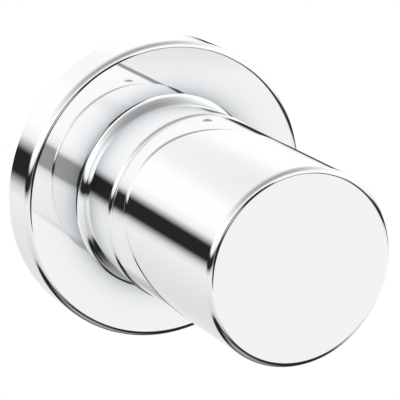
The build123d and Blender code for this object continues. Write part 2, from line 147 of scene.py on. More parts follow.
class Nodes:
    """Builder for the nodes of one tree."""

    def __init__(self, tree: bpy.types.NodeTree) -> None:
        """Empty the tree."""
        self.tree = tree
        tree.nodes.clear()

    @staticmethod
    def find(sockets: Any, key: str | int) -> bpy.types.NodeSocket:
        """Find a socket.

        Args:
            sockets: A node's inputs or outputs.
            key: The socket's place, identifier or name.

        Returns:
            The socket.
        """
        if isinstance(key, int):
            return sockets[key]
        return next(socket for socket in sockets if key in (socket.identifier, socket.name))

    def add(
        self,
        kind: str,
        settings: dict[str, Any] | None = None,
        sockets: dict[str | int, Any] | None = None,
        output: str | int = 0,
    ) -> Value | None:
        """Make one node.

        Args:
            kind: The node's type.
            settings: Its settings, set first; "stops" are a ramp's (place, colour) pairs.
            sockets: What goes into its sockets, as numbers or values.
            output: The output to hand back.

        Returns:
            The output's value, or None for a node without outputs.
        """
        node = self.tree.nodes.new(kind)
        for name, setting in (settings or {}).items():
            if name == "stops":
                self.set_stops(node.color_ramp, setting)
            else:
                setattr(node, name, setting)
        for key, given in (sockets or {}).items():
            socket = self.find(node.inputs, key)
            if isinstance(given, Value):
                self.tree.links.new(given.socket, socket)
            else:
                socket.default_value = given
        return Value(self, self.find(node.outputs, output)) if node.outputs else None

    @staticmethod
    def set_stops(ramp: bpy.types.ColorRamp, stops: list[tuple[float, Colour]]) -> None:
        """Give a ramp its stops.

        Args:
            ramp: The ramp, with its two first stops.
            stops: Pairs of place and colour, in rising order.
        """
        while len(ramp.elements) < len(stops):
            ramp.elements.new(1.0)
        for element, (place, colour) in zip(ramp.elements, stops):
            element.position = place
            element.color = (*colour, 1.0)

    def mix(
        self, factor: Value | float, low: Value | Colour, high: Value | Colour, kind: str = "MIX"
    ) -> Value:
        """Mix two colours.

        Args:
            factor: How much of the second is taken, 0 to 1.
            low: The first colour, as a value or as three numbers.
            high: The second.
            kind: The Mix node's blend type.

        Returns:
            The mixed colour.
        """
        first, second = (given if isinstance(given, Value) else (*given, 1.0) for given in (low, high))
        sockets = {"Factor_Float": factor, "A_Color": first, "B_Color": second}
        settings = {"data_type": "RGBA", "blend_type": kind}
        return self.add("ShaderNodeMix", settings, sockets, "Result_Color")

    def place(self) -> Value:
        """Place on the object in millimetres."""
        metres = self.add("ShaderNodeTexCoord", output="Object")
        return self.add("ShaderNodeVectorMath", {"operation": "SCALE"}, {"Vector": metres, "Scale": 1 / MM})

    def parts(self, vector: Value) -> tuple[Value, Value, Value]:
        """Take a vector apart.

        Args:
            vector: The vector.

        Returns:
            Its three numbers.
        """
        split = self.add("ShaderNodeSeparateXYZ", sockets={"Vector": vector}, output="X")
        outputs = split.socket.node.outputs
        return split, Value(self, outputs["Y"]), Value(self, outputs["Z"])

    def noise(self, vector: Value, scale: float, detail: float = 2.0) -> Value:
        """Noise between 0 and 1, with a scale in waves a millimetre."""
        return self.add("ShaderNodeTexNoise", sockets={"Vector": vector, "Scale": scale, "Detail": detail})

    def rings(self, along: Value, scale: float) -> Value:
        """Noise that changes only along one number."""
        inputs = {"W": along, "Scale": scale, "Detail": 3.0}
        return self.add("ShaderNodeTexNoise", {"noise_dimensions": "1D"}, inputs)

    def bump(self, height: Value) -> Value:
        """Normal from a height in millimetres."""
        sockets = {"Height": height, "Distance": MM, "Strength": 1.0}
        return self.add("ShaderNodeBump", sockets=sockets, output="Normal")


def grey(level: float) -> Colour:
    """A grey."""
    return (level, level, level)


def new_material(name: str) -> tuple[bpy.types.Material, Nodes]:
    """Make an empty material.

    Args:
        name: Its name.

    Returns:
        The material and the builder of its nodes.
    """
    material = bpy.data.materials.new(name)
    material.use_nodes = True
    return material, Nodes(material.node_tree)


@dataclass(frozen=True)
class Finish:
    """A surface finish; each kind says what goes into its shader's sockets."""

    name: str

    def looks(self, nodes: Nodes) -> dict[str, Any]:
        """What goes into the shader's sockets."""
        raise NotImplementedError

    def material(self) -> bpy.types.Material:
        """Make the finish's material the first time it is asked for.

        Returns:
            The material.
        """
        known = bpy.data.materials.get(self.name)
        if known is not None:
            return known
        material, nodes = new_material(self.name)
        shader = nodes.add("ShaderNodeBsdfPrincipled", sockets=self.looks(nodes))
        nodes.add("ShaderNodeOutputMaterial", sockets={"Surface": shader})
        return material


@dataclass(frozen=True)
class PolishedChrome(Finish):
    """Mirror chrome plating: faint waviness under the plating and a trace of haze."""

    name: str = "polished_chrome"
    colour: Colour = (0.968, 0.97, 0.976)
    haze_colour: Colour = (0.955, 0.958, 0.966)
    roughness: float = 0.012
    haze: float = 0.02
    drift_scale: float = 0.08
    wave_scale: float = 0.11
    wave_height: float = 0.0006

    def looks(self, nodes: Nodes) -> dict[str, Any]:
        """Mirror with soft drifting haze.

        Args:
            nodes: The material's nodes.

        Returns:
            What goes into the shader's sockets.
        """
        place = nodes.place()
        drift = nodes.noise(place, self.drift_scale, 3.0)
        wave = nodes.noise(place, self.wave_scale, 1.0)
        return {
            "Base Color": self.tone(nodes, place, drift),
            "Metallic": 1.0,
            "Roughness": drift * self.haze + self.roughness,
            "Normal": nodes.bump(wave * self.wave_height),
        }

    def tone(self, nodes: Nodes, place: Value, drift: Value) -> Value:
        """Colour of the plating, drifting a little towards its haze."""
        return nodes.mix(drift, self.colour, self.haze_colour)


@dataclass(frozen=True)
class PlateChromeWithPaintedShade(PolishedChrome):
    """The same plating, with painted shade darkening it in a soft ring round the collar's foot."""

    name: str = "polished_chrome_plate"
    # Colour of the painted shade round the collar's foot.
    painted_shade: Colour = (0.51, 0.555, 0.575)
    foot_radius: float = 23.6
    fade: float = 2.1
    face_depth: float = -9.9

    def tone(self, nodes: Nodes, place: Value, drift: Value) -> Value:
        """Colour of the plating, with painted shade on the face, darker the nearer it is to the foot.

        Args:
            nodes: The material's nodes.
            place: Place on the object.
            drift: How much haze there is.

        Returns:
            The colour.
        """
        across, depth, up = nodes.parts(place)
        # Painted shade: the face's colour is pulled towards the dark colour, most at the collar's foot,
        # fading outwards over a few millimetres.
        away = ((across.hypot(up) - self.foot_radius) / self.fade).to("MAXIMUM", 0.0)
        near = (away * -1.0).to("EXPONENT") * depth.to("LESS_THAN", self.face_depth)
        return nodes.mix(near, super().tone(nodes, place, drift), self.painted_shade)


@dataclass(frozen=True)
class TurnedMetal(Finish):
    """Metal turned on a lathe: fine rings round the axis that catch the light."""

    name: str = "turned_brass"
    colour: Colour = (0.82, 0.64, 0.33)
    dark: Colour = (0.68, 0.5, 0.23)
    roughness: float = 0.2
    ring_height: float = 0.0025
    ring_scale: float = 5.0
    tarnish_scale: float = 0.15

    def looks(self, nodes: Nodes) -> dict[str, Any]:
        """Rings by the sum of radius and depth, so that they show on walls and on faces.

        Args:
            nodes: The material's nodes.

        Returns:
            What goes into the shader's sockets.
        """
        place = nodes.place()
        across, depth, up = nodes.parts(place)
        fine = nodes.rings(across.hypot(up) + depth, self.ring_scale)
        tarnish = nodes.noise(place, self.tarnish_scale, 4.0)
        return {
            "Base Color": nodes.mix(tarnish * 0.6 + fine * 0.4, self.colour, self.dark),
            "Metallic": 1.0,
            "Roughness": fine * 0.14 + tarnish * 0.12 + self.roughness,
            "Normal": nodes.bump(fine * self.ring_height),
        }


@dataclass(frozen=True)
class CastBrass(Finish):
    """Sand-cast and blasted brass with machined neck, port ends and threads."""

    name: str = "cast_brass"
    colour: Colour = (0.66, 0.5, 0.26)
    dark: Colour = (0.5, 0.36, 0.17)
    machined: Colour = (0.82, 0.64, 0.33)
    roughness: float = 0.2
    grain_scale: float = 2.6
    grain_height: float = 0.05
    lump_scale: float = 0.35
    lump_height: float = 0.1
    stain_scale: float = 0.12
    ring_scale: float = 5.0
    ring_height: float = 0.0025
    port_depth: float = 42.0
    port_reach: float = 31.9
    thread_radius: float = 10.6
    thread_floor: float = 17.9
    neck_end: float = 24.05

    def looks(self, nodes: Nodes) -> dict[str, Any]:
        """Grainy skin, smoother where a tool has cut.

        Args:
            nodes: The material's nodes.

        Returns:
            What goes into the shader's sockets.
        """
        place = nodes.place()
        across, depth, up = nodes.parts(place)
        height = up.to("ABSOLUTE")
        radius = across.hypot(depth - self.port_depth)
        in_port = radius.to("LESS_THAN", self.thread_radius) * height.to("GREATER_THAN", self.thread_floor)
        cut = in_port.to("MAXIMUM", height.to("GREATER_THAN", self.port_reach))
        cut = cut.to("MAXIMUM", depth.to("LESS_THAN", self.neck_end))
        skin = 1 - cut
        grain = nodes.noise(place, self.grain_scale, 3.0)
        lumps = nodes.noise(place, self.lump_scale, 2.0)
        stain = nodes.noise(place, self.stain_scale, 4.0)
        rings = nodes.rings(depth + height, self.ring_scale)
        cast_colour = nodes.mix(stain * 0.7 + grain * 0.3, self.colour, self.dark)
        relief = skin * (grain * self.grain_height + lumps * self.lump_height)
        return {
            "Base Color": nodes.mix(cut, cast_colour, self.machined),
            "Metallic": 1.0,
            "Roughness": skin * (grain * 0.16 + 0.2) + rings * 0.1 + self.roughness,
            "Normal": nodes.bump(relief + cut * rings * self.ring_height),
        }


@dataclass(frozen=True)
class Moulded(Finish):
    """Rubber, plastic or ceramic: a body colour with drift, a fine grain and dust in its pits."""

    name: str
    colour: Colour
    shade: Colour
    roughness: float
    spread: float
    grain_scale: float
    grain_height: float
    coat: float = 0.0
    drift_scale: float = 0.2

    def looks(self, nodes: Nodes) -> dict[str, Any]:
        """Drifting colour over a fine moulded or lapped grain.

        Args:
            nodes: The material's nodes.

        Returns:
            What goes into the shader's sockets.
        """
        place = nodes.place()
        grain = nodes.noise(place, self.grain_scale, 3.0)
        drift = nodes.noise(place, self.drift_scale, 3.0)
        return {
            "Base Color": nodes.mix(drift * 0.6 + grain * 0.4, self.colour, self.shade),
            "Roughness": grain * self.spread + self.roughness,
            "Coat Weight": self.coat,
            "Normal": nodes.bump(grain * self.grain_height),
        }


FINISHES: dict[Slot, Finish] = {
    Slot.CHROME: PolishedChrome(),
    Slot.TURNED_BRASS: TurnedMetal(),
    Slot.CAST_BRASS: CastBrass(),
    Slot.STEEL: TurnedMetal("screw_steel", (0.64, 0.64, 0.65), (0.5, 0.5, 0.51), 0.24, 0.002),
    Slot.RUBBER: Moulded("black_rubber", (0.022, 0.022, 0.023), (0.045, 0.044, 0.042), 0.5, 0.25, 3.0, 0.012),
    Slot.ACETAL: Moulded("pale_plastic", (0.82, 0.82, 0.8), (0.76, 0.76, 0.73), 0.36, 0.14, 2.2, 0.006),
    Slot.GREY: Moulded("grey_plastic", (0.38, 0.38, 0.38), (0.32, 0.32, 0.32), 0.4, 0.14, 2.2, 0.006),
    Slot.SLIP: Moulded("white_slip_plastic", (0.93, 0.93, 0.92), (0.88, 0.88, 0.86), 0.28, 0.12, 1.2, 0.004),
    Slot.CERAMIC: Moulded(
        "lapped_ceramic", (0.92, 0.9, 0.85), (0.87, 0.85, 0.79), 0.1, 0.12, 4.0, 0.001, coat=0.2
    ),
}


@dataclass(frozen=True)
class Run:
    """One stretch of an outline: straight, or an arc when it has a centre.

    The metal is on the left of every run, so its outward normal points to the right.
    """

    start: Corner
    end: Corner
    rows: int = 1
    centre: Corner | None = None
    groove: float = 0.0

    def corners(self) -> list[Corner]:
        """Lay the run's corners.

        Returns:
            Corners from the start up to, but without, the end.
        """
        shares = np.arange(self.rows) / self.rows
        if self.centre is None:
            start, end = np.array(self.start), np.array(self.end)
            return [tuple(start + (end - start) * share) for share in shares]
        radius, first, turn = self.sweep()
        angles = first + turn * shares
        return [
            (self.centre[0] + radius * math.cos(angle), self.centre[1] + radius * math.sin(angle))
            for angle in angles
        ]

    def sweep(self) -> tuple[float, float, float]:
        """Measure the arc.

        Returns:
            Its radius, first angle and signed turn.
        """
        first = math.atan2(self.start[1] - self.centre[1], self.start[0] - self.centre[0])
        last = math.atan2(self.end[1] - self.centre[1], self.end[0] - self.centre[0])
        turn = (last - first + math.pi) % (2 * math.pi) - math.pi
        return math.dist(self.start, self.centre), first, turn

    def distances(self, places: np.ndarray) -> np.ndarray:
        """Distances from the run.

        Args:
            places: Rows of (radius, depth).

        Returns:
            One distance a row.
        """
        start, end = np.array(self.start), np.array(self.end)
        if self.centre is None:
            along = end - start
            share = np.clip((places - start) @ along / (along @ along), 0, 1)
            return np.linalg.norm(places - start - share[:, None] * along, axis=1)
        radius = self.sweep()[0]
        low, high = np.minimum(start, end) - ON_RUN, np.maximum(start, end) + ON_RUN
        inside = np.all((places >= low) & (places <= high), axis=1)
        off = np.abs(np.linalg.norm(places - np.array(self.centre), axis=1) - radius)
        return np.where(inside, off, np.inf)

    def normals(self, places: np.ndarray) -> np.ndarray:
        """Outward normals in the outline's plane.

        Args:
            places: Rows of (radius, depth) on the run.

        Returns:
            Rows of unit (radius, depth) parts.
        """
        if self.centre is None:
            along = np.array(self.end) - np.array(self.start)
            right = np.array((along[1], -along[0])) / np.linalg.norm(along)
            return np.broadcast_to(right, places.shape)
        outward = places - np.array(self.centre)
        return math.copysign(1, self.sweep()[2]) * outward / np.linalg.norm(outward, axis=1)[:, None]


@dataclass
class Outline:
    """Outline of a turned piece, drawn with the metal on its left."""

    here: Corner
    runs: list[Run] = field(default_factory=list)
    sharp_angle: float = 40.0

    def line(self, radius: float, depth: float, rows: int = 1, groove: float = 0.0) -> "Outline":
        """Draw a straight run.

        Args:
            radius: Radius of its end.
            depth: Depth of its end.
            rows: Parts that it is cut into.
            groove: How far a thread that winds along it stands out, or cuts in when below 0.

        Returns:
            The outline.
        """
        self.runs.append(Run(self.here, (radius, depth), rows, groove=groove))
        self.here = (radius, depth)
        return self

    def arc(self, radius: float, depth: float, centre: Corner, rows: int = 12) -> "Outline":
        """Draw an arc by the shorter way.

        Args:
            radius: Radius of its end.
            depth: Depth of its end.
            centre: Its centre.
            rows: Parts that it is cut into.

        Returns:
            The outline.
        """
        self.runs.append(Run(self.here, (radius, depth), rows, centre))
        self.here = (radius, depth)
        return self

    def mesh(self) -> bpy.types.Mesh:
        """Lay the outline as a chain of points.

        Returns:
            Points in the XY plane in metres, each with its groove depth.
        """
        corners = [corner for run in self.runs for corner in run.corners()]
        grooves = [run.groove if step else 0.0 for run in self.runs for step in range(run.rows)]
        corners.append(self.here)
        grooves.append(0.0)
        mesh = bpy.data.meshes.new("outline")
        mesh.from_pydata([(radius * MM, depth * MM, 0.0) for radius, depth in corners], [], [])
        attribute = mesh.attributes.new("groove", "FLOAT", "POINT")
        attribute.data.foreach_set("value", [depth * MM for depth in grooves])
        return mesh

    def shade(self, mesh: bpy.types.Mesh) -> None:
        """Give every face that lies on a plain run its exact normals, and leave the rest to their angles.

        Args:
            mesh: Turned mesh in metres.
        """
        faces, loops, points = len(mesh.polygons), len(mesh.loops), len(mesh.vertices)
        centres, places = np.empty(faces * 3), np.empty(points * 3)
        totals, corners = np.empty(faces, dtype=int), np.empty(loops, dtype=int)
        mesh.polygons.foreach_get("center", centres)
        mesh.polygons.foreach_get("loop_total", totals)
        mesh.vertices.foreach_get("co", places)
        mesh.loops.foreach_get("vertex_index", corners)
        centres = centres.reshape(-1, 3) / MM
        places = places.reshape(-1, 3)[corners] / MM
        face_of = np.repeat(np.arange(faces), totals)
        flat = np.column_stack((np.hypot(centres[:, 0], centres[:, 2]), centres[:, 1]))
        away = np.array([run.distances(flat) for run in self.runs])
        nearest = np.where(away.min(axis=0) < ON_RUN, away.argmin(axis=0), -1)
        radii = np.hypot(places[:, 0], places[:, 2])
        normals = np.zeros((loops, 3))
        for index, run in enumerate(self.runs):
            chosen = nearest[face_of] == index
            if run.groove or not chosen.any():
                continue
            outward, along = run.normals(np.column_stack((radii[chosen], places[chosen, 1]))).T
            unit = places[chosen][:, (0, 2)].T / np.maximum(radii[chosen], TINY)
            normals[chosen] = np.column_stack((outward * unit[0], along, outward * unit[1]))
        mesh.set_sharp_from_angle(angle=math.radians(self.sharp_angle))
        mesh.normals_split_custom_set(normals.tolist())


class TurnedTree:
    """Geometry Nodes that turn an outline about the Y axis, with a thread where it has a groove."""

    def __init__(self) -> None:
        """Build the tree with its named inputs."""
        self.tree = bpy.data.node_groups.new("turned_surface", "GeometryNodeTree")
        face = self.tree.interface
        face.new_socket(name="Geometry", in_out="INPUT", socket_type="NodeSocketGeometry")
        kinds = {
            "Outline": "NodeSocketObject",
            "Corners": "NodeSocketInt",
            "Segments": "NodeSocketInt",
            "Pitch": "NodeSocketFloat",
            "Material": "NodeSocketMaterial",
        }
        self.inputs = {
            name: face.new_socket(name=name, in_out="INPUT", socket_type=kind).identifier
            for name, kind in kinds.items()
        }
        face.new_socket(name="Geometry", in_out="OUTPUT", socket_type="NodeSocketGeometry")
        self.build(Nodes(self.tree))

    def build(self, nodes: Nodes) -> None:
        """Lay a grid, and put each of its points at its outline corner's radius, depth and angle.

        Args:
            nodes: The tree's nodes.
        """
        first = nodes.add("NodeGroupInput", output="Outline").socket.node
        outline, corners, segments, pitch, material = (
            Value(nodes, first.outputs[name]) for name in self.inputs
        )
        grid = nodes.add("GeometryNodeMeshGrid", sockets={"Vertices X": segments + 1, "Vertices Y": corners})
        index = nodes.add("GeometryNodeInputIndex")
        ring = (index / corners).to("FLOOR")
        chain = nodes.add("GeometryNodeObjectInfo", sockets={"Object": outline}, output="Geometry")
        along = index - ring * corners
        place = nodes.add("GeometryNodeInputPosition")
        cut = nodes.add("GeometryNodeInputNamedAttribute", {"data_type": "FLOAT"}, {"Name": "groove"})
        corner = self.sample(nodes, chain, "FLOAT_VECTOR", place, along)
        groove = self.sample(nodes, chain, "FLOAT", cut, along)
        radius, depth, _ = nodes.parts(corner)
        share = ring / segments
        wave = ((depth / pitch + share).to("FRACT") * 2 - 1).to("ABSOLUTE")
        reach = radius + groove * wave
        angle = share * math.tau
        spot = nodes.add(
            "ShaderNodeCombineXYZ",
            sockets={"X": reach * angle.to("COSINE"), "Y": depth, "Z": reach * angle.to("SINE")},
        )
        shape = nodes.add("GeometryNodeSetPosition", sockets={"Geometry": grid, "Position": spot})
        shape = nodes.add("GeometryNodeMergeByDistance", sockets={"Geometry": shape, "Distance": TINY})
        shape = nodes.add("GeometryNodeRealizeInstances", sockets={"Geometry": shape})
        shape = nodes.add("GeometryNodeSetMaterial", sockets={"Geometry": shape, "Material": material})
        nodes.add("NodeGroupOutput", sockets={"Geometry": shape})

    @staticmethod
    def sample(nodes: Nodes, chain: Value, kind: str, what: Value, index: Value) -> Value:
        """Read a value of the outline's points by index.

        Args:
            nodes: The tree's nodes.
            chain: The outline's geometry.
            kind: The value's data type.
            what: The value.
            index: The point's place. A little is added, so that cutting it to a whole number can't lose one.

        Returns:
            The value there.
        """
        sockets = {"Geometry": chain, "Value": what, "Index": index + 0.25}
        return nodes.add("GeometryNodeSampleIndex", {"data_type": kind, "domain": "POINT"}, sockets)

    def turn(
        self, name: str, outline: Outline, finish: Finish, segments: int = 256, pitch: float = 1.0
    ) -> bpy.types.Object:
        """Turn an outline into a closed mesh.

        Args:
            name: The piece's name.
            outline: What is turned, in millimetres.
            finish: Its finish.
            segments: Facets round the axis.
            pitch: Thread pitch in millimetres.

        Returns:
            A plain mesh object, outwards all over.
        """
        chain = new_object("outline", outline.mesh())
        piece = new_object(name, bpy.data.meshes.new(name))
        modifier = piece.modifiers.new("turned", "NODES")
        modifier.node_group = self.tree
        given = {
            "Outline": chain,
            "Corners": len(chain.data.vertices),
            "Segments": segments,
            "Pitch": pitch * MM,
            "Material": finish.material(),
        }
        for key, value in given.items():
            modifier[self.inputs[key]] = value
        settle(piece)
        bpy.data.objects.remove(chain)
        face_outwards(piece.data)
        return piece


def new_object(name: str, data: Any) -> bpy.types.Object:
    """Put an object in the scene, at the origin.

    Args:
        name: Its name.
        data: Its mesh or camera.

    Returns:
        The object.
    """
    made = bpy.data.objects.new(name, data)
    bpy.context.scene.collection.objects.link(made)
    return made


def settle(piece: bpy.types.Object) -> None:
    """Turn a piece's modifiers into its plain mesh.

    Args:
        piece: The piece.
    """
    bpy.context.view_layer.update()
    graph = bpy.context.evaluated_depsgraph_get()
    mesh = bpy.data.meshes.new_from_object(piece.evaluated_get(graph))
    mesh.name = piece.name
    piece.modifiers.clear()
    piece.data = mesh


def face_outwards(mesh: bpy.types.Mesh) -> None:
    """Smooth every face, and turn the mesh right side out when its volume is negative.

    Args:
        mesh: A closed mesh.
    """
    shape = bmesh.new()
    shape.from_mesh(mesh)
    for face in shape.faces:
        face.smooth = True
    if shape.calc_volume(signed=True) < 0:
        bmesh.ops.reverse_faces(shape, faces=shape.faces)
    shape.to_mesh(mesh)
    shape.free()


def cut_away(piece: bpy.types.Object, cutters: list[bpy.types.Object]) -> None:
    """Cut other solids out of a piece, and delete them.

    Args:
        piece: The piece that stays.
        cutters: Closed solids.
    """
    for cutter in cutters:
        modifier = piece.modifiers.new("cut", "BOOLEAN")
        modifier.operation = "DIFFERENCE"
        modifier.object = cutter
    settle(piece)
    for cutter in cutters:
        bpy.data.objects.remove(cutter)


def copy_of_node(name: str, node: str, finish: Finish) -> bpy.types.Object:
    """Copy a CAD node's mesh as a new piece.

    Args:
        name: The new piece's name.
        node: The CAD node.
        finish: Its finish.

    Returns:
        The copy, with its loose triangles merged.
    """
    mesh = frame["nodes"][node].data.copy()
    shape = bmesh.new()
    shape.from_mesh(mesh)
    bmesh.ops.remove_doubles(shape, verts=shape.verts, dist=TINY)
    shape.to_mesh(mesh)
    shape.free()
    mesh.materials.clear()
    mesh.materials.append(finish.material())
    return new_object(name, mesh)


def smooth_by_angle(piece: bpy.types.Object, degrees: float) -> None:
    """Smooth a piece, with its large faces kept flat.

    Args:
        piece: The piece.
        degrees: The angle past which an edge stays sharp.
    """
    for polygon in piece.data.polygons:
        polygon.use_smooth = True
    piece.data.set_sharp_from_angle(angle=math.radians(degrees))
    modifier = piece.modifiers.new("weights", "WEIGHTED_NORMAL")
    modifier.keep_sharp = True
    settle(piece)


def stand_for(piece: bpy.types.Object, node: str, body: Body) -> None:
    """Make a piece stand for a CAD node and report it.

    Args:
        piece: The finished piece.
        node: The CAD node that it replaces.
        body: The body that it rides on.
    """
    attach(piece, body.value)
    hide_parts(node)
    log.info("%s stands for %s: %d faces", piece.name, node, len(piece.data.polygons))


def moved(across: float, depth: float, up: float) -> Matrix:
    """Matrix that moves by millimetres."""
    return Matrix.Translation(Vector((across, depth, up)) * MM)


def tilted(angle: float) -> Matrix:
    """Matrix that turns about X, by radians."""
    return Euler((angle, 0, 0)).to_matrix().to_4x4()


@dataclass
class Handle:
    """Round knob, hollow from behind, with a key hole on top for its grub screw."""

    turned: TurnedTree
    radius: float = 22.25
    front: float = -73.4
    back: float = -26.5
    front_rounding: float = 1.4
    back_rounding: float = 0.5
    bore_radius: float = 20.05
    bore_front: float = -46.1
    cavity_radius: float = 19.6
    front_wall: float = 2.6
    key_hole_radius: float = 1.05
    key_hole_depth: float = -30.4
    key_hole_ease: float = 0.12
    segments: int = 256
    key_hole_segments: int = 48

    def outline(self) -> Outline:
        """Draw the shell's section.

        Returns:
            The section, from the middle of its front outwards and back inside.
        """
        rim = self.radius - self.front_rounding
        shoulder = self.front + self.front_rounding
        heel = self.back - self.back_rounding
        foot = self.radius - self.back_rounding
        ceiling = self.front + self.front_wall
        return (
            Outline((0.0, self.front))
            .line(rim, self.front)
            .arc(self.radius, shoulder, (rim, shoulder))
            .line(self.radius, heel, rows=4)
            .arc(foot, self.back, (foot, heel))
            .line(self.bore_radius, self.back)
            .line(self.bore_radius, self.bore_front)
            .line(self.cavity_radius, self.bore_front)
            .line(self.cavity_radius, ceiling)
            .line(0.0, ceiling)
        )

    def key_hole(self, finish: Finish) -> bpy.types.Object:
        """Make the key hole's cutter.

        Args:
            finish: The finish that its cut gets.

        Returns:
            A rod that stands in the wall's top, a little wider at its mouth.
        """
        low, high = self.cavity_radius - 1, self.radius + 1
        mouth = self.radius - self.key_hole_ease
        wide = self.key_hole_radius + self.key_hole_ease + high - self.radius
        outline = (
            Outline((0.0, low))
            .line(self.key_hole_radius, low)
            .line(self.key_hole_radius, mouth)
            .line(wide, high)
            .line(0.0, high)
        )
        cutter = self.turned.turn("key_hole", outline, finish, self.key_hole_segments)
        cutter.data.transform(tilted(QUARTER_TURN))
        cutter.data.transform(moved(0, self.key_hole_depth, 0))
        return cutter

    def build(self) -> None:
        """Turn the shell, cut the key hole and shade it."""
        finish = FINISHES[Slot.CHROME]
        outline = self.outline()
        shell = self.turned.turn("handle_chrome", outline, finish, self.segments)
        cut_away(shell, [self.key_hole(finish)])
        outline.shade(shell.data)
        stand_for(shell, "handle_shell", Body.HANDLE)


@dataclass
class Collar:
    """Chromed sleeve, widening a little towards its mouth, with a concave flared foot on the escutcheon."""

    turned: TurnedTree
    radius: float = 22.0
    rim_radius: float = 22.65
    front: float = -26.1
    front_rounding: float = 1.0
    flare: float = 1.6
    flare_turn: float = 80.0
    foot_edge: float = 0.25
    foot: float = -10.0
    mouth_radius: float = 20.5
    ring_back: float = -23.0
    waist_radius: float = 20.0
    thread_radius: float = 17.05
    thread_front: float = -18.8
    spigot_radius: float = 20.3
    spigot_back: float = -4.0
    groove_radius: float = 18.9
    groove_front: float = -7.3
    groove_back: float = -5.7
    segments: int = 256

    def outline(self) -> Outline:
        """Draw the sleeve's section.

        Returns:
            The section, from its mouth outwards, down to the spigot and back inside.
        """
        foot_front = self.foot - self.foot_edge
        foot_radius = self.radius + self.flare
        turn = math.radians(self.flare_turn)
        sweep = self.flare / (1 - math.cos(turn))
        flare_front = foot_front - sweep * math.sin(turn)
        length = flare_front - self.front
        cone = math.atan2(self.rim_radius - self.radius, length)
        cut = self.front_rounding / math.tan(math.pi / 4 - cone / 2)
        rim = self.rim_radius - cut
        side = (self.rim_radius - cut * math.sin(cone), self.front + cut * math.cos(cone))
        return (
            Outline((self.mouth_radius, self.front))
            .line(rim, self.front)
            .arc(*side, (rim, self.front + self.front_rounding), rows=10)
            .line(self.radius, flare_front, rows=2)
            .arc(foot_radius, foot_front, (self.radius + sweep, flare_front), rows=20)
            .line(foot_radius, self.foot)
            .line(self.spigot_radius, self.foot)
            .line(self.spigot_radius, self.groove_front)
            .line(self.groove_radius, self.groove_front)
            .line(self.groove_radius, self.groove_back)
            .line(self.spigot_radius, self.groove_back)
            .line(self.spigot_radius, self.spigot_back)
            .line(self.thread_radius, self.spigot_back)
            .line(self.thread_radius, self.thread_front)
            .line(self.waist_radius, self.thread_front)
            .line(self.waist_radius, self.ring_back)
            .line(self.mouth_radius, self.ring_back)
            .line(self.mouth_radius, self.front)
        )

    def build(self) -> None:
        """Turn and shade the sleeve."""
        outline = self.outline()
        sleeve = self.turned.turn("collar_chrome", outline, FINISHES[Slot.CHROME], self.segments)
        outline.shade(sleeve.data)
        stand_for(sleeve, "collar", Body.VALVE)


@dataclass
class Escutcheon:
    """Hollow round cover against the wall, with a plain mirror face and a rounded rim."""

    turned: TurnedTree
    radius: float = 36.0
    front: float = -10.0
    rounding: float = 1.5
    wall: float = 2.0
    ease: float = 0.2
    bore_radius: float = 20.4
    boss_radius: float = 22.8
    boss_back: float = -5.0
    segments: int = 320

    def outline(self) -> Outline:
        """Draw the cover's section.

        Returns:
            The section, from its bore outwards and back inside.
        """
        rim = self.radius - self.rounding
        shoulder = self.front + self.rounding
        skirt = self.radius - self.wall
        inside = self.front + self.wall
        lip = self.radius - self.ease
        return (
            Outline((self.bore_radius, self.front))
            .line(rim, self.front)
            .arc(self.radius, shoulder, (rim, shoulder), rows=16)
            .line(self.radius, -self.ease)
            .arc(lip, 0.0, (lip, -self.ease), rows=4)
            .line(skirt, 0.0)
            .line(skirt, inside)
            .line(self.boss_radius, inside)
            .line(self.boss_radius, self.boss_back)
            .line(self.bore_radius, self.boss_back)
            .line(self.bore_radius, self.front)
        )

    def build(self) -> None:
        """Turn and shade the cover."""
        outline = self.outline()
        # The cover's plating carries painted shade round the collar's foot.
        cover = self.turned.turn("escutcheon_chrome", outline, PlateChromeWithPaintedShade(), self.segments)
        outline.shade(cover.data)
        stand_for(cover, "escutcheon", Body.VALVE)


@dataclass
class NeckSleeve:
    """Brass tube with an outside thread that the collar is screwed along."""

    turned: TurnedTree
    radius: float = 17.0
    front: float = -18.5
    back: float = 24.0
    pitch: float = 1.5
    thread_depth: float = 0.92
    end_chamfer: float = 0.8
    rows_a_turn: int = 8
    segments: int = 128
    skim: float = 0.005
    overrun: float = 0.5
    sharp_angle: float = 40.0

    def thread_cutter(self) -> bpy.types.Object:
        """Make the thread's cutter.

        Returns:
            A ring whose inner wall is the thread, narrowed at both ends for the chamfers.
        """
        crest = self.radius - self.skim
        root = crest - self.end_chamfer
        outer = self.radius + 1
        before, after = self.front - self.overrun, self.back + self.overrun
        rows = round((self.back - self.front) / self.pitch * self.rows_a_turn)
        outline = (
            Outline((root, before))
            .line(outer, before)
            .line(outer, after)
            .line(root, after)
            .line(root, self.back)
            .line(crest, self.back - self.end_chamfer)
            .line(crest, self.front + self.end_chamfer, rows, -self.thread_depth)
            .line(root, self.front)
            .line(root, before)
        )
        finish = FINISHES[Slot.TURNED_BRASS]
        return self.turned.turn("sleeve_thread", outline, finish, self.segments, self.pitch)

    def build(self) -> None:
        """Cut the thread into a copy of the tube."""
        sleeve = copy_of_node("neck_sleeve_threaded", "neck_sleeve", FINISHES[Slot.TURNED_BRASS])
        cut_away(sleeve, [self.thread_cutter()])
        smooth_by_angle(sleeve, self.sharp_angle)
        stand_for(sleeve, "neck_sleeve", Body.VALVE)


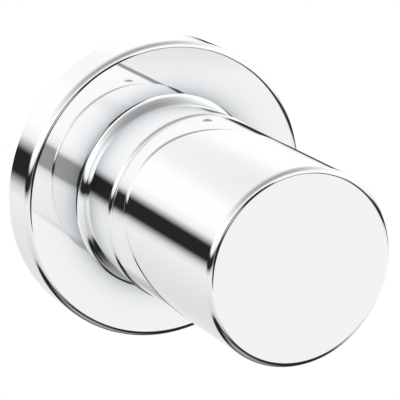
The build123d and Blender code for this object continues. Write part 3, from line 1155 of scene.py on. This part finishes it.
@dataclass
class ValveBody:
    """Cast body in the wall, with a half-inch pipe thread in each port."""

    turned: TurnedTree
    port_depth: float = 42.0
    port_span: float = 32.0
    crest_radius: float = 9.3
    thread_depth: float = 1.0
    thread_length: float = 11.6
    pitch: float = 1.814
    rows_a_turn: int = 8
    segments: int = 96
    skim: float = 0.005
    overrun: float = 0.5
    sharp_angle: float = 32.0

    def thread_cutter(self) -> bpy.types.Object:
        """Make the cutter of the upper port's thread.

        Returns:
            A rod whose wall is the thread, standing upright.
        """
        crest = self.crest_radius + self.skim
        outer = self.port_span + self.overrun
        inner = self.port_span - self.thread_length
        rows = round((outer - inner) / self.pitch * self.rows_a_turn)
        outline = (
            Outline((0.0, inner))
            .line(crest, inner)
            .line(crest, outer, rows, self.thread_depth)
            .line(0.0, outer)
        )
        finish = FINISHES[Slot.CAST_BRASS]
        rod = self.turned.turn("port_thread", outline, finish, self.segments, self.pitch)
        rod.data.transform(tilted(QUARTER_TURN))
        return rod

    def build(self) -> None:
        """Cut both threads into a copy of the casting."""
        body = copy_of_node("valve_body_cast", "valve_body", FINISHES[Slot.CAST_BRASS])
        cutters = []
        for half_turn in (0, math.pi):
            rod = self.thread_cutter()
            rod.data.transform(tilted(half_turn))
            rod.data.transform(moved(0, self.port_depth, 0))
            cutters.append(rod)
        cut_away(body, cutters)
        smooth_by_angle(body, self.sharp_angle)
        stand_for(body, "valve_body", Body.VALVE)


@dataclass
class InnerPieces:
    """The CAD nodes that keep their own meshes: they only get their finish."""

    def build(self) -> None:
        """Put each node's finish on its material slots."""
        slots = {entry["node"]: Slot(entry["material_slot"]) for entry in frame["record"]["subparts"]}
        for name, node in frame["nodes"].items():
            finish = FINISHES[slots[name]]
            node.data.materials.clear()
            node.data.materials.append(finish.material())
            log.info("%s dressed as %s", name, finish.name)


@dataclass
class Direction:
    """Direction that a ray leaves the chrome in, by its parts."""

    nodes: Nodes
    right: Value
    back: Value
    up: Value

    def front(self) -> Value:
        """Its part out of the wall, into the room."""
        return self.back * -1.0


@dataclass
class Studio:
    """White set, soft light and the camera.

    What the chrome mirrors is given as levels, pairs of elevation in degrees and brightness. A stand is a
    pair of parts of a direction towards the front, between which the horizon is paler.
    """

    camera_place: tuple[float, ...] = (-227.51, -465.2, 155.47)
    camera_aim: tuple[float, ...] = (0.44003, 0.84785, -0.29584)
    lens: float = 203.6
    sensor_width: float = 36.0
    clip_start: float = 0.01
    floor_height: float = -420.0
    set_width: float = 4000.0
    wall_reach: float = 135.0
    wall_depth: float = 0.5
    dome_low: Colour = (0.82, 0.82, 0.83)
    dome_high: Colour = (1.05, 1.05, 1.05)
    left_levels: Levels = (
        (-42, 0.7), (-14, 0.88), (-10.5, 0.7), (-6, 0.02), (2.5, 0.02), (7.5, 0.9), (13, 1.03),
    )
    right_levels: Levels = (
        (-42, 0.88), (-21, 0.955), (-15.5, 0.92), (-11, 0.8), (-7, 0.02), (2, 0.02), (6, 0.9), (13, 1.03),
    )
    narrow_levels: Levels = ((-14, 0.925), (-9.5, 0.03), (-2, 0.03), (2.5, 1.03))
    horizon_dip: float = 0.37
    front_dip: float = 0.1
    left_stands: Levels = ((0.8, 0.855), (0.877, 0.9))
    right_stands: Levels = ((0.857, 0.9),)
    stand_edge: float = 0.004
    stand_level: float = 0.33
    ring_rise: Pair = (0.925, 0.94)
    ring_fall: Pair = (0.985, 0.995)
    ring_level: float = 0.02
    side_ceiling: Levels = ((32, 1.05), (40, 0.92), (50, 0.72), (60, 0.51), (72, 0.42), (90, 0.4))
    front_ceiling: Levels = ((32, 1.05), (36, 0.74), (44, 0.6), (56, 0.46), (66, 0.37), (80, 0.34))
    back_ceiling: Levels = ((24, 1.04), (30, 0.92), (36, 0.84), (43, 0.78), (60, 0.68), (90, 0.5))
    floor_levels: Levels = ((-90, 0.34), (-77, 0.33), (-67, 0.02), (-49, 0.02), (-43, 0.7), (-38, 1.1))
    floor_rise: float = 0.22
    rise_towards: float = math.radians(30)
    pale_floor: float = 0.48

    def build(self) -> None:
        """Make the camera, the light and the set."""
        bpy.context.scene.view_settings.view_transform = "Standard"
        self.place_camera()
        self.light_world()
        self.raise_wall()
        self.lay_floor()
        log.info("studio ready")

    def place_camera(self) -> None:
        """Camera at the photograph's viewing angle."""
        data = bpy.data.cameras.new("camera")
        data.lens = self.lens
        data.sensor_width = self.sensor_width
        data.clip_start = self.clip_start
        camera = new_object("camera", data)
        camera.location = Vector(self.camera_place) * MM
        camera.rotation_euler = Vector(self.camera_aim).to_track_quat("-Z", "Y").to_euler()
        bpy.context.scene.camera = camera

    @staticmethod
    def elevation(up: Value) -> Value:
        """Elevation from an upward part, as 0 straight down to 1 straight up."""
        return up.to("MINIMUM", 1.0).to("MAXIMUM", -1.0).to("ARCSINE") / math.pi + 0.5

    @staticmethod
    def ramp(height: Value, levels: Levels) -> Value:
        """Grey by elevation, 0 straight down to 1 straight up."""
        stops = [((degrees + 90) / 180, grey(level)) for degrees, level in levels]
        return height.nodes.add("ShaderNodeValToRGB", {"stops": stops}, {"Fac": height})

    def walls(self, ray: Direction) -> Value:
        """Pale walls with a dark horizon, which changes where one mirror shows another.

        Args:
            ray: Where the mirrored ray goes.

        Returns:
            Their brightness by direction.
        """
        nodes, right, front, behind = ray.nodes, ray.right, ray.front(), ray.back.to("MAXIMUM", 0.0)
        # The horizon sinks behind to the right, and straight ahead.
        dip = right.to("MAXIMUM", 0.0) * behind * self.horizon_dip + front.between(0.9, 1.0) * self.front_dip
        height = self.elevation(ray.up + dip)
        # The right side's levels show from the middle on, and mostly straight ahead too.
        to_right = (right - behind * 0.4).between(-0.1, 0.3).to("MAXIMUM", front.between(0.8, 0.88) * 0.7)
        sides = (self.ramp(height, levels) for levels in (self.left_levels, self.right_levels))
        walls = nodes.mix(to_right, *sides)
        # To the front right the horizon is narrow, as a fine line along the handle's top.
        narrow = front.between(0.7, 0.78) * right.between(0.15, 0.25)
        walls = nodes.mix(narrow, walls, self.ramp(height, self.narrow_levels))
        # Stands lift it to grey where the handle and the collar show in the plate.
        low = 1 - ray.up.to("ABSOLUTE").between(0.3, 0.4)
        at_right = right.between(-0.2, 0.2)
        edge = self.stand_edge
        for side, stands in ((1 - at_right, self.left_stands), (at_right, self.right_stands)):
            for first, last in stands:
                stand = front.within((first - edge, first + edge), (last - edge, last + edge))
                walls = nodes.mix(low * side * stand, walls, grey(self.stand_level), "LIGHTEN")
        # A dark ring round straight ahead draws the fine lines on the rounded edges.
        return nodes.mix(front.within(self.ring_rise, self.ring_fall), walls, grey(self.ring_level))

    def ceiling(self, ray: Direction) -> Value:
        """Grey ceiling, darker to the front than to the back.

        Args:
            ray: Where the mirrored ray goes.

        Returns:
            Its brightness by direction, past 1 below it.
        """
        height = self.elevation(ray.up)
        around = ray.back / ray.right.hypot(ray.back).to("MAXIMUM", 0.01)
        side, back, front = (
            self.ramp(height, levels) for levels in (self.side_ceiling, self.back_ceiling, self.front_ceiling)
        )
        over = ray.nodes.mix(around.between(0.2, 0.9), side, back)
        return ray.nodes.mix(1 - around.between(-0.85, -0.3), over, front)

    def floor(self, ray: Direction) -> Value:
        """Grey floor with a dark edge, which rises to the front right and is paler to the front left.

        Args:
            ray: Where the mirrored ray goes.

        Returns:
            Its brightness by direction, past 1 above it.
        """
        right, front, up = ray.right, ray.front(), ray.up
        towards = right * math.sin(self.rise_towards) + front * math.cos(self.rise_towards)
        height = self.elevation(up - towards.between(0.5, 0.9) * self.floor_rise)
        pale = front.between(0.2, 0.4) * (1 - right.between(0.0, 0.25)) * (1 - up.between(-0.88, -0.82))
        return ray.nodes.mix(pale, self.ramp(height, self.floor_levels), grey(self.pale_floor))

    def light_world(self) -> None:
        """White for the camera, an even dome for matte surfaces and the studio for gloss."""
        world = bpy.data.worlds.new("studio")
        world.use_nodes = True
        bpy.context.scene.world = world
        nodes = Nodes(world.node_tree)
        path = nodes.add("ShaderNodeLightPath", output="Is Camera Ray").socket.node
        camera, glossy = (Value(nodes, path.outputs[name]) for name in ("Is Camera Ray", "Is Glossy Ray"))
        ray = Direction(nodes, *nodes.parts(nodes.add("ShaderNodeTexCoord", output="Generated")))
        dome = nodes.mix(ray.up.between(-1.0, 1.0), self.dome_low, self.dome_high)
        mirrored = self.walls(ray)
        for part in (self.ceiling, self.floor):
            mirrored = nodes.mix(1.0, mirrored, part(ray), "DARKEN")
        colour = nodes.mix(camera, nodes.mix(glossy, dome, mirrored), grey(1.0))
        background = nodes.add("ShaderNodeBackground", sockets={"Color": colour, "Strength": 1.0})
        nodes.add("ShaderNodeOutputWorld", sockets={"Surface": background})

    @staticmethod
    def sheet(name: str, corners: list[tuple[float, float, float]]) -> bpy.types.Object:
        """Make a flat four-cornered sheet of the set.

        Args:
            name: Its name.
            corners: Its corners in millimetres.

        Returns:
            The sheet.
        """
        mesh = bpy.data.meshes.new(name)
        mesh.from_pydata([Vector(corner) * MM for corner in corners], [], [(0, 1, 2, 3)])
        return new_object(name, mesh)

    def raise_wall(self) -> None:
        """White wall just behind the escutcheon, seen only from the room and by the camera alone."""
        half, depth = self.wall_reach, self.wall_depth
        wall = self.sheet("wall", [(across * half, depth, up * half) for across, up in SQUARE])
        material, nodes = new_material("wall_white")
        from_behind = nodes.add("ShaderNodeNewGeometry", output="Backfacing")
        white = nodes.add("ShaderNodeEmission", sockets={"Color": (*grey(1.0), 1.0), "Strength": 1.0})
        clear = nodes.add("ShaderNodeBsdfTransparent")
        either = nodes.add("ShaderNodeMixShader", sockets={0: from_behind, 1: white, 2: clear})
        nodes.add("ShaderNodeOutputMaterial", sockets={"Surface": either})
        wall.data.materials.append(material)
        for ray in ("diffuse", "glossy", "transmission", "shadow"):
            setattr(wall, f"visible_{ray}", False)

    def lay_floor(self) -> None:
        """Pale floor far below, which takes the object's shadow."""
        half, low = self.set_width / 2, self.floor_height
        floor = self.sheet("floor", [(across * half, along * half, low) for across, along in SQUARE])
        material, nodes = new_material("floor_pale")
        looks = {"Base Color": (*grey(0.99), 1.0), "Roughness": 0.9}
        pale = nodes.add("ShaderNodeBsdfPrincipled", sockets=looks)
        nodes.add("ShaderNodeOutputMaterial", sockets={"Surface": pale})
        floor.data.materials.append(material)
        floor.visible_glossy = False


def main() -> None:
    """Dress the frame, build the pieces that replace CAD nodes, and set the studio."""
    logging.basicConfig(level=logging.INFO, format="%(name)s: %(message)s")
    turned = TurnedTree()
    InnerPieces().build()
    for kind in (Handle, Collar, Escutcheon, NeckSleeve, ValveBody):
        kind(turned).build()
    Studio().build()


if __name__ == "__main__":
    main()
